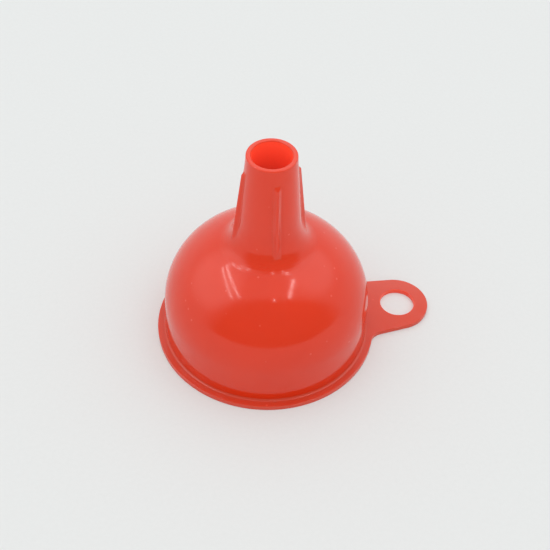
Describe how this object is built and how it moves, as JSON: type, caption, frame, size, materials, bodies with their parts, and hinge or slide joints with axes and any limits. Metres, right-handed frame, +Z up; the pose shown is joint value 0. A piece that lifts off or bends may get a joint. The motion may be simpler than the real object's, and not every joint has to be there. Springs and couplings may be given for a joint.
{
  "type": "funnel",
  "caption": "Small moulded plastic funnel: flat rim, domed bowl, tapered spout with raised side ribs, and a flat hanging tab with a round hole.",
  "frame": {"origin": "middle of the base rectangle, in the plane of the rim face; the funnel's own axis stands 8.5 mm from it, on the -X side", "axes": "+Z up along the funnel's axis, from the rim face to the spout mouth; +X towards the hanging tab; the XZ plane is the mirror plane"},
  "size_m": [0.077, 0.06, 0.0622],
  "materials": {
    "red_plastic": "glossy, very slightly translucent"
  },
  "bodies": {
    "root": {"rim_flange": "red_plastic", "hang_tab": "red_plastic", "bowl_skirt": "red_plastic", "bowl_dome": "red_plastic", "spout_foot": "red_plastic", "spout_tube": "red_plastic", "spout_tip": "red_plastic", "spout_rib_1": "red_plastic", "spout_rib_2": "red_plastic", "spout_rib_3": "red_plastic", "spout_rib_4": "red_plastic"}
  },
  "joints": []
}
